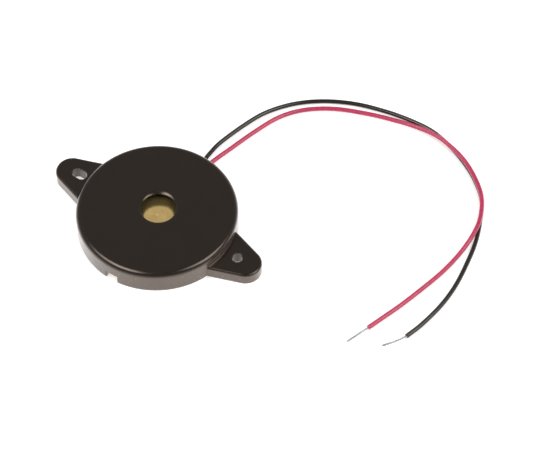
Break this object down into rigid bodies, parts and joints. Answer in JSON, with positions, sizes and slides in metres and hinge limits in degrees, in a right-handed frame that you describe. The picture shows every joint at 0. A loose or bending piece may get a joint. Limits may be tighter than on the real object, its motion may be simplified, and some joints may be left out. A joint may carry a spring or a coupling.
{
  "type": "piezo buzzer",
  "caption": "Round open-backed plastic piezo sounder with a sound hole, screw ears and red and black wire leads.",
  "frame": {"origin": "centre of the housing's open back, on the plane that it mounts on", "axes": "+Z out of the sound hole side; +X from the body's centre to the ear with the round hole; +Y to the notch that the leads leave by"},
  "size_m": [0.0868, 0.0698, 0.0054],
  "materials": {
    "housing_plastic": "satin moulded black plastic",
    "brass": "rolled sheet",
    "ceramic": "fired silver electrode on grey ceramic",
    "adhesive": "cured silicone",
    "solder": "solder",
    "tinned_strands": "tinned copper strands",
    "red_insulation": "soft PVC insulation",
    "black_insulation": "soft PVC insulation"
  },
  "bodies": {
    "root": {"housing": "housing_plastic", "diaphragm_plate": "brass", "piezo_ceramic": "ceramic", "adhesive_ring": "adhesive", "red_solder": "solder", "black_solder": "solder", "red_tail": "tinned_strands", "black_tail": "tinned_strands", "red_lead": "red_insulation", "black_lead": "black_insulation", "red_tip": "tinned_strands", "black_tip": "tinned_strands"}
  },
  "joints": []
}
